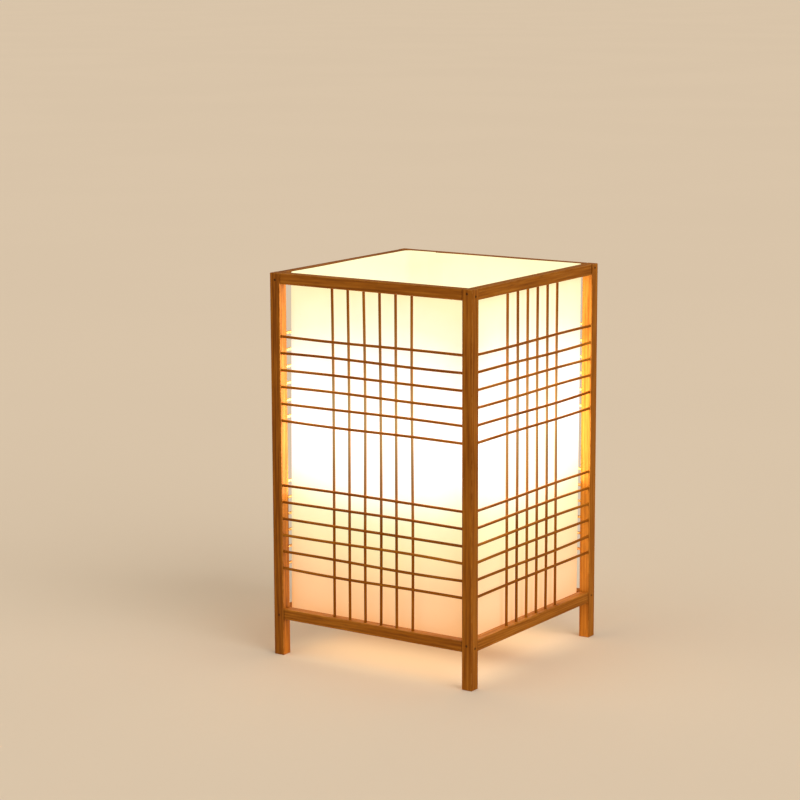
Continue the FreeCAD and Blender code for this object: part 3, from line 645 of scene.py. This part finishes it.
def lit_bulb(name, node, colour):
    """A surface of the lit bulb, a little dimmer and warmer towards its neck."""
    material, tree, shader, spot = new_material(name, Emission_Strength=BULB_STRENGTH)
    low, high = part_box(node)
    skin = skin_of(tree, spot, "bulb")
    shift = reckon(tree, "MULTIPLY", skin["Cloud"], BULB_CLOUDS)
    level = reckon(tree, "ADD", parts(tree, spot)["Z"], shift)
    glow = mixed(tree, between(tree, level, low.z, (low.z + high.z) / 2), BULB_NECK_GLOW, BULB_GLOW)
    plug(tree, glow, shader["Emission Color"])
    plug(tree, mixed(tree, skin["Grain"], colour, dimmed(colour, BULB_DIMMEST)), shader["Base Color"])
    plug(tree, between(tree, skin["Grain"], *NOISE_SPAN, *BULB_ROUGHNESS), shader["Roughness"])
    raise_grain(tree, shader, skin["Grain"], *BUMPS["bulb"])
    return material


def dress(material, *names):
    """Gives CAD nodes their finish."""
    for name in names:
        nodes[name].material_slots[0].material = material


def finish_nodes():
    """Finishes of the pieces that keep their CAD shape."""
    pieces = [("post_" + corner, "upright", False) for corner in CORNERS]
    for side in SIDES:
        lie = run_of(side)[1]
        pieces += [("upper_rail_" + side, lie, True), ("lower_rail_" + side, lie, True)]
    pieces.append(("lamp_bar", "across", True))
    for number, (node, lie, butted) in enumerate(pieces):
        dress(wood(node, lie, number, butted), node)
    for make, finishes in ((metal, METALS), (moulded, MOULDINGS)):
        for *look, dressed in finishes:
            dress(make(*look), *dressed)
    dress(lit_sheet("lit_strip", STRIP_SHINE, False), "liner_joining_strip")
    dress(lit_bulb("lit_chip", "led_chips", CHIP_COLOUR), "led_chips")
    dress(lit_bulb("lit_diffuser", "bulb_diffuser", DIFFUSER_COLOUR), "bulb_diffuser")


def stick_row_tree():
    """A row of sticks along X, each running along Z, with its own bow, girth and tone."""
    tree, given, result = new_group(
        "stick_row", "GeometryNodeTree",
        {"Count": "Int", "Pitch": "Float", "Length": "Float", "Radius": "Float", "Bow": "Float",
         "Sections": "Int", "Segments": "Int", "Seed": "Int", "Finish": "Material"},
        {"Sticks": "Geometry"})
    span = reckon(tree, "MULTIPLY", reckon(tree, "SUBTRACT", given["Count"], 1.0), given["Pitch"])
    first = vector_of(tree, X=reckon(tree, "MULTIPLY", span, -0.5))
    row = place(tree, "GeometryNodeMeshLine", {"mode": "OFFSET"}, Count=given["Count"], Start_Location=first,
                Offset=vector_of(tree, X=given["Pitch"])).outputs["Mesh"]
    end = vector_of(tree, Z=reckon(tree, "MULTIPLY", given["Length"], 0.5))
    start = reckon_vector(tree, "MULTIPLY", end, (-1.0, -1.0, -1.0))
    line = place(tree, "GeometryNodeCurvePrimitiveLine", None, Start=start, End=end).outputs["Curve"]
    line = place(tree, "GeometryNodeResampleCurve", None, Curve=line, Count=given["Sections"])
    sticks = place(tree, "GeometryNodeInstanceOnPoints", None, Points=row,
                   Instance=line.outputs["Curve"]).outputs["Instances"]
    for number, (name, most) in enumerate(STICK_DRAWS):
        draw = place(tree, "FunctionNodeRandomValue", {"data_type": "FLOAT"},
                     Seed=reckon(tree, "ADD", given["Seed"], float(number)))
        plug(tree, -most, draw.inputs[DRAW_LEAST])
        plug(tree, most, draw.inputs[DRAW_MOST])
        sticks = place(tree, "GeometryNodeStoreNamedAttribute", {"data_type": "FLOAT", "domain": "INSTANCE"},
                       Geometry=sticks, Name=name, Value=draw.outputs[DRAW_RESULT]).outputs["Geometry"]
    curves = place(tree, "GeometryNodeRealizeInstances", None, Geometry=sticks).outputs["Geometry"]
    along = reckon(tree, "MULTIPLY", place(tree, "GeometryNodeSplineParameter").outputs["Factor"], math.pi)
    bends = []
    for name, half_waves in STICK_WAVES:
        drawn = place(tree, "GeometryNodeInputNamedAttribute", {"data_type": "FLOAT"}, Name=name)
        wave = reckon(tree, "SINE", reckon(tree, "MULTIPLY", along, half_waves))
        bends.append(reckon(tree, "MULTIPLY", wave, drawn.outputs["Attribute"]))
    sideways = reckon(tree, "MULTIPLY", reckon(tree, "ADD", *bends), given["Bow"])
    curves = place(tree, "GeometryNodeSetPosition", None, Geometry=curves,
                   Offset=vector_of(tree, X=sideways)).outputs["Geometry"]
    girth = noise(tree, place(tree, "GeometryNodeInputPosition").outputs["Position"], GIRTH_SCALE)
    curves = place(tree, "GeometryNodeSetCurveRadius", None, Curve=curves,
                   Radius=between(tree, girth, *NOISE_SPAN, *STICK_GIRTH)).outputs["Curve"]
    round_section = place(tree, "GeometryNodeCurvePrimitiveCircle", None, Resolution=given["Segments"],
                          Radius=given["Radius"]).outputs["Curve"]
    sticks = place(tree, "GeometryNodeCurveToMesh", None, Curve=curves, Profile_Curve=round_section,
                   Fill_Caps=True).outputs["Mesh"]
    sticks = place(tree, "GeometryNodeSetShadeSmooth", None, Geometry=sticks).outputs["Geometry"]
    sticks = place(tree, "GeometryNodeRealizeInstances", None, Geometry=sticks).outputs["Geometry"]
    sticks = place(tree, "GeometryNodeSetMaterial", None, Geometry=sticks, Material=given["Finish"])
    plug(tree, sticks.outputs["Geometry"], result["Sticks"])
    return tree


def grown(name, tree, **values):
    """A plain mesh from a Geometry Nodes tree with these values of its inputs."""
    seed = bpy.data.objects.new(name + "_seed", bpy.data.meshes.new(name + "_seed"))
    scene.collection.objects.link(seed)
    modifier = seed.modifiers.new("grow", "NODES")
    modifier.node_group = tree
    for socket in tree.interface.items_tree:
        key = socket.name.replace(" ", "_")
        if socket.in_out == "INPUT" and key in values:
            modifier[socket.identifier] = values[key]
    whole = seed.evaluated_get(bpy.context.evaluated_depsgraph_get())
    mesh = bpy.data.meshes.new_from_object(whole)
    bpy.data.objects.remove(seed)
    mesh.name = name
    return mesh


def add_piece(name, mesh, body, slot, *replaced):
    """A finished piece at the origin, on its body, in place of CAD nodes if any are named."""
    piece = bpy.data.objects.new(name, mesh)
    scene.collection.objects.link(piece)
    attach(piece, body)
    if replaced:
        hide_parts(*replaced)
    return piece


def lattice_row(tree, node, run, row, finish, seed):
    """One row of sticks where its CAD node stands; run and row are the axes they lie and repeat along."""
    low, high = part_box(node)
    size = high - low
    thick = 3 - run - row
    radius = size[thick] / 2
    mesh = grown(node, tree, Count=STICKS_IN_ROW, Pitch=(size[row] - 2 * radius) / (STICKS_IN_ROW - 1),
                 Length=size[run], Radius=radius, Bow=STICK_BOW, Sections=STICK_SECTIONS,
                 Segments=STICK_SEGMENTS, Seed=seed, Finish=finish)
    axes = [Vector((i == 0, i == 1, i == 2)) for i in range(3)]
    basis = Matrix((axes[row], axes[run].cross(axes[row]), axes[run])).transposed()
    mesh.transform(Matrix.Translation((low + high) / 2) @ basis.to_4x4())
    return add_piece("bamboo_" + node, mesh, "lamp", "stick_bamboo", node)


def make_lattice():
    """Upright sticks and two bands of cross sticks on each side."""
    tree = stick_row_tree()
    finish = {lie: bamboo(lie) for lie in LIES}
    for number, side in enumerate(SIDES):
        level, lie = run_of(side)
        for group, seed in STICK_SEEDS.items():
            run, row, look = (2, level, "upright") if group == "upright" else (level, 2, lie)
            node = group + "_sticks_" + side
            lattice_row(tree, node, run, row, finish[look], SIDE_SEED * number + seed)


def shell_mesh(name, points, faces, finish):
    """A plain mesh, smooth where its faces meet softly."""
    mesh = bpy.data.meshes.new(name)
    mesh.from_pydata(points, [], faces)
    mesh.materials.append(finish)
    mesh.shade_smooth()
    mesh.set_sharp_from_angle(angle=SHARP_ANGLE)
    return mesh


def liner_corners(up):
    """Where the sheet's outer face turns or a notch begins, and its facing, at a share of its height."""
    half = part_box("liner")[1].x
    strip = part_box("liner_joining_strip")
    seam = (strip[0].x + strip[1].x) / 2
    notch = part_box("lamp_bar")[1].y + BAR_NOTCH
    corners = [(Vector((seam - SEAM_SLIT / 2, half)), Vector((0.0, 1.0)))]
    for quarter, (corner, foot_radius, top_radius) in enumerate(FOLDS):
        radius = foot_radius + (top_radius - foot_radius) * up
        towards = Vector((-1.0 if "left" in corner else 1.0, -1.0 if "front" in corner else 1.0))
        for step in range(FOLD_STEPS + 1):
            angle = math.pi / 2 * (1 + quarter + step / FOLD_STEPS)
            facing = Vector((math.cos(angle), math.sin(angle)))
            corners.append((towards * (half - radius) + facing * radius, facing))
        if abs(facing.x) > abs(facing.y):
            for y in (notch + NOTCH_SLANT, notch, -notch, -notch - NOTCH_SLANT):
                corners.append((Vector((towards.x * half, towards.y * y)), facing))
    corners.append((Vector((seam + SEAM_SLIT / 2, half)), Vector((0.0, 1.0))))
    return corners


def liner_stations(up):
    """Points round the sheet's outer face with the directions it faces there, from seam to seam."""
    middle = liner_corners(0.5)
    steps = [math.ceil((b[0] - a[0]).length / SHEET_STEP) for a, b in zip(middle, middle[1:])]
    corners = liner_corners(up)
    stations = []
    for (start, facing), (end, _), count in zip(corners, corners[1:], steps):
        stations += [(start.lerp(end, i / count), facing) for i in range(count)]
    return stations + corners[-1:]


def liner_points(foot_ring, top_ring):
    """The sheet's points, up its outer and then its inner face at each station, and which are inner ones."""
    low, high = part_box("liner")
    bar_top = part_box("lamp_bar")[1]
    notch = bar_top.y + BAR_NOTCH
    points, inner, run = [], [], 0.0
    for number, ((foot_spot, facing), (top_spot, _)) in enumerate(zip(foot_ring, top_ring)):
        run += (top_spot - top_ring[max(0, number - 1)][0]).length
        waves = sum(tall * (1 + math.sin(math.tau * run / long + start)) for tall, long, start in TOP_WAVES)
        top = high.z + TOP_SPARE + waves
        on_bar = abs(foot_spot.y) <= notch + NOTCH_SLANT / 2 and abs(facing.x) > abs(facing.y)
        foot = bar_top.z + BAR_NOTCH if on_bar else low.z
        for wall in (0.0, LINER_WALL):
            for row in range(SHEET_ROWS + 1):
                level = foot + (top - foot) * row / SHEET_ROWS
                at = foot_spot.lerp(top_spot, (level - low.z) / (high.z - low.z)) - facing * wall
                points.append((at.x, at.y, level))
                inner.append(1.0 if wall else 0.0)
    return points, inner


def liner_faces(stations):
    """Faces of the sheet's two sides, its top and foot edges, and its two edges at the seam."""
    tall = SHEET_ROWS + 1
    step = 2 * tall
    faces = []
    for i in range(stations - 1):
        outer, behind = step * i, step * i + tall
        for row in range(SHEET_ROWS):
            faces.append((outer + row, outer + step + row, outer + step + row + 1, outer + row + 1))
            faces.append((behind + row, behind + row + 1, behind + step + row + 1, behind + step + row))
        top, top_behind = outer + SHEET_ROWS, behind + SHEET_ROWS
        faces.append((top, top + step, top_behind + step, top_behind))
        faces.append((outer, behind, behind + step, outer + step))
    last = step * (stations - 1)
    for row in range(SHEET_ROWS):
        faces.append((row, row + 1, tall + row + 1, tall + row))
        faces.append((last + row, last + tall + row, last + tall + row + 1, last + row + 1))
    return faces


def make_liner():
    """The folded sheet, with the waves of its hand-cut top edge and a notch at each end of the bar."""
    foot_ring, top_ring = liner_stations(0.0), liner_stations(1.0)
    points, inner = liner_points(foot_ring, top_ring)
    finish = lit_sheet("lit_liner", 1.0, True)
    sheet = shell_mesh("folded_liner", points, liner_faces(len(top_ring)), finish)
    sheet.attributes.new("inner_face", "FLOAT", "POINT").data.foreach_set("value", inner)
    add_piece("folded_liner", sheet, "lamp", "liner_sheet", "liner")


def round_spot(radius, turn, height):
    """A spot about the Z axis; turn is a share of the circle."""
    return radius * math.cos(math.tau * turn), radius * math.sin(math.tau * turn), height


def make_nipple():
    """Hollow nipple with its fine thread."""
    low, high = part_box("nipple")
    tall = high.z - low.z
    rows = round(tall / THREAD_PITCH * THREAD_ROWS)
    turns = [segment / THREAD_SEGMENTS for segment in range(THREAD_SEGMENTS)]
    points, faces = [], []
    for row in range(rows + 1):
        up = tall * row / rows
        entry = max(0.0, 1 - min(up, tall - up) / THREAD_PITCH)
        for turn in turns:
            flank = abs(2 * ((up / THREAD_PITCH - turn) % 1.0) - 1)
            points.append(round_spot(high.x - THREAD_DEPTH * max(flank, entry), turn, low.z + up))
    for level in (high.z, low.z):
        points += [round_spot(NIPPLE_BORE, turn, level) for turn in turns]
    rings = [ring * THREAD_SEGMENTS for ring in range(rows + 3)]
    for below, above in zip(rings, rings[1:] + rings[:1]):
        for i in range(THREAD_SEGMENTS):
            j = (i + 1) % THREAD_SEGMENTS
            faces.append((below + i, below + j, above + j, above + i))
    nipple = shell_mesh("threaded_nipple", points, faces, bpy.data.materials["zinc_plate"])
    add_piece("threaded_nipple", nipple, "lamp", "zinc_steel", "nipple")


def rib_ring_tree():
    """Upright ribs in a ring about Z, standing from its level upwards."""
    tree, given, result = new_group("rib_ring", "GeometryNodeTree",
                                    {"Count": "Int", "Ring Radius": "Float", "Rib Radius": "Float",
                                     "Height": "Float", "Finish": "Material"}, {"Ribs": "Geometry"})
    ring = place(tree, "GeometryNodeMeshCircle", None, Vertices=given["Count"], Radius=given["Ring Radius"])
    rib = place(tree, "GeometryNodeMeshCone", None, Vertices=GRIP_RIB_FACETS, Radius_Top=given["Rib Radius"],
                Radius_Bottom=given["Rib Radius"], Depth=given["Height"])
    ribs = place(tree, "GeometryNodeInstanceOnPoints", None, Points=ring.outputs["Mesh"],
                 Instance=rib.outputs["Mesh"]).outputs["Instances"]
    ribs = place(tree, "GeometryNodeRealizeInstances", None, Geometry=ribs).outputs["Geometry"]
    ribs = place(tree, "GeometryNodeSetMaterial", None, Geometry=ribs, Material=given["Finish"])
    plug(tree, ribs.outputs["Geometry"], result["Ribs"])
    return tree


def make_grip():
    """Ribs round the lampholder's skirt, where fingers turn it."""
    low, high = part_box("holder_skirt")
    ribs = grown("grip_ribs", rib_ring_tree(), Count=GRIP_RIBS, Ring_Radius=high.x - GRIP_RIB_SUNK,
                 Rib_Radius=GRIP_RIB_RADIUS, Height=GRIP_HEIGHT, Finish=bpy.data.materials["white_holder"])
    ribs.transform(Matrix.Translation((0.0, 0.0, low.z + GRIP_FROM_RIM)))
    add_piece("grip_ribs", ribs, "lamp", "holder_plastic")


def direction(azimuth, elevation):
    """Unit vector towards an azimuth round from the front and an elevation, in radians."""
    return Vector((math.sin(azimuth) * math.cos(elevation), -math.cos(azimuth) * math.cos(elevation),
                   math.sin(elevation)))


def make_camera():
    """The view of the photograph."""
    azimuth, elevation, roll = (math.radians(d) for d in (CAMERA_AZIMUTH, CAMERA_ELEVATION, CAMERA_ROLL))
    back = direction(azimuth, elevation)
    level = Vector((math.cos(azimuth), math.sin(azimuth), 0.0))
    right = level * math.cos(roll) + back.cross(level) * math.sin(roll)
    data = bpy.data.cameras.new("camera")
    data.lens = CAMERA_LENS
    camera = bpy.data.objects.new("camera", data)
    camera.matrix_world = Matrix((right, back.cross(right), back)).transposed().to_4x4()
    camera.location = CAMERA_TARGET + back * CAMERA_DISTANCE
    scene.collection.objects.link(camera)
    scene.camera = camera


def make_floor():
    """Pale floor, clear from below and under the feet, so that the lamp's underside can be seen."""
    side = FLOOR_SIDE / 2
    corners = [(-side, -side, 0.0), (side, -side, 0.0), (side, side, 0.0), (-side, side, 0.0)]
    mesh = bpy.data.meshes.new("floor")
    mesh.from_pydata(corners, [], [(0, 1, 2, 3)])
    floor = bpy.data.objects.new("floor", mesh)
    scene.collection.objects.link(floor)
    material, tree, shader, spot = new_material("pale_floor", Roughness=FLOOR_ROUGHNESS,
                                                Specular_IOR_Level=0.0)
    clouds = skin_of(tree, spot, "floor")["Cloud"]
    colour = mixed(tree, clouds, FLOOR_COLOUR, dimmed(FLOOR_COLOUR, FLOOR_DIMMEST))
    plug(tree, colour, shader["Base Color"])
    low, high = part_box("post_front_right")
    middle, reach = (low.x + high.x) / 2, (high.x - low.x) / 2 - FOOT_MARGIN
    away = parts(tree, reckon_vector(tree, "ABSOLUTE", spot))
    under = [reckon(tree, "COMPARE", away[axis], middle, reach) for axis in ("X", "Y")]
    seen_from_below = place(tree, "ShaderNodeNewGeometry").outputs["Backfacing"]
    clear = reckon(tree, "MAXIMUM", seen_from_below, reckon(tree, "MULTIPLY", *under))
    either = place(tree, "ShaderNodeMixShader", None, Fac=clear)
    plug(tree, tree.nodes["Principled BSDF"].outputs[0], either.inputs[1])
    plug(tree, place(tree, "ShaderNodeBsdfTransparent").outputs[0], either.inputs[2])
    plug(tree, either.outputs[0], tree.nodes["Material Output"].inputs["Surface"])
    mesh.materials.append(material)


def add_lamp(name, kind, matrix, **settings):
    """A lamp that shines along its own -Z."""
    data = bpy.data.lights.new(name, kind)
    for setting, value in settings.items():
        setattr(data, setting, value)
    lamp = bpy.data.objects.new(name, data)
    lamp.matrix_world = matrix
    scene.collection.objects.link(lamp)
    return lamp


def make_studio_light():
    """Two soft suns and a plain sky, which the camera and shiny pieces see as the backdrop."""
    world = bpy.data.worlds.new("studio")
    world.use_nodes = True
    tree = world.node_tree
    sky = tree.nodes["Background"]
    ray = place(tree, "ShaderNodeLightPath").outputs
    seen = reckon(tree, "MAXIMUM", ray["Is Camera Ray"], ray["Is Glossy Ray"])
    plug(tree, mixed(tree, seen, SKY_COLOUR, BACKDROP_COLOUR), sky.inputs["Color"])
    plug(tree, between(tree, seen, 0.0, 1.0, SKY_STRENGTH, 1.0), sky.inputs["Strength"])
    scene.world = world
    for name, azimuth, elevation, spread, strength in SUNS:
        towards = direction(math.radians(azimuth), math.radians(elevation))
        add_lamp(name, "SUN", towards.to_track_quat("Z", "Y").to_matrix().to_4x4(), energy=strength,
                 angle=math.radians(spread))


def gathered(*starts):
    """The pieces whose names start so, as a collection that a light can be kept to."""
    pieces = bpy.data.collections.new("lit_" + starts[0])
    for piece in scene.objects:
        if piece.name.startswith(starts):
            pieces.objects.link(piece)
    return pieces


def add_panel(name, spot, wide, tall, brightness, pieces, **settings):
    """An unseen panel of light, kept to some of the pieces or to none."""
    panel = add_lamp(name, "AREA", spot, shape="RECTANGLE", size=wide, size_y=tall,
                     energy=brightness * math.pi * wide * tall, **settings)
    panel.visible_camera = False
    panel.light_linking.receiver_collection = pieces


def make_spill():
    """Light that the liner throws sideways on the frame and the sticks."""
    low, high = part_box("liner")
    height = high.z - low.z
    lit = [gathered("post_"), gathered("upper_rail_", "lower_rail_"), gathered("bamboo_upright_"),
           gathered("bamboo_upper_", "bamboo_lower_")]
    panels = []
    for start, end, *brightness in SPILL:
        panels += [(start, end, each, pieces, math.pi) for each, pieces in zip(brightness, lit) if each]
    panels += [(start, end, each, lit[-1], STRAIGHT_SPREAD) for start, end, each in STRAIGHT_SPILL]
    for quarter, side in enumerate(SIDES):
        turn = Matrix.Rotation(quarter * math.pi / 2, 4, "Z")
        for start, end, brightness, pieces, spread in panels:
            middle = Vector((0.0, low.y - PANEL_GAP, low.z + (start + end) / 2 * height))
            spot = turn @ Matrix.Translation(middle) @ Matrix.Rotation(-math.pi / 2, 4, "X")
            add_panel("spill_" + side, spot, high.x - low.x, (end - start) * height, brightness, pieces,
                      spread=spread, color=SPILL_COLOUR)


def make_pool():
    """Light that leaves the liner's open foot, in front of the bar and behind it."""
    low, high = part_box("liner")
    bar_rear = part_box("lamp_bar")[1].y
    timber = gathered("post_", "upper_rail_", "lower_rail_")
    for way in (-1, 1):
        spot = Matrix.Translation((0.0, way * (high.y + bar_rear) / 2, low.z))
        for brightness, pieces in zip(POOL, (None, timber)):
            add_panel("pool", spot, high.x - low.x, high.y - bar_rear, brightness, pieces, color=POOL_COLOUR)


make_camera()
make_floor()
make_studio_light()
finish_nodes()
make_lattice()
make_liner()
make_nipple()
make_grip()
make_spill()
make_pool()
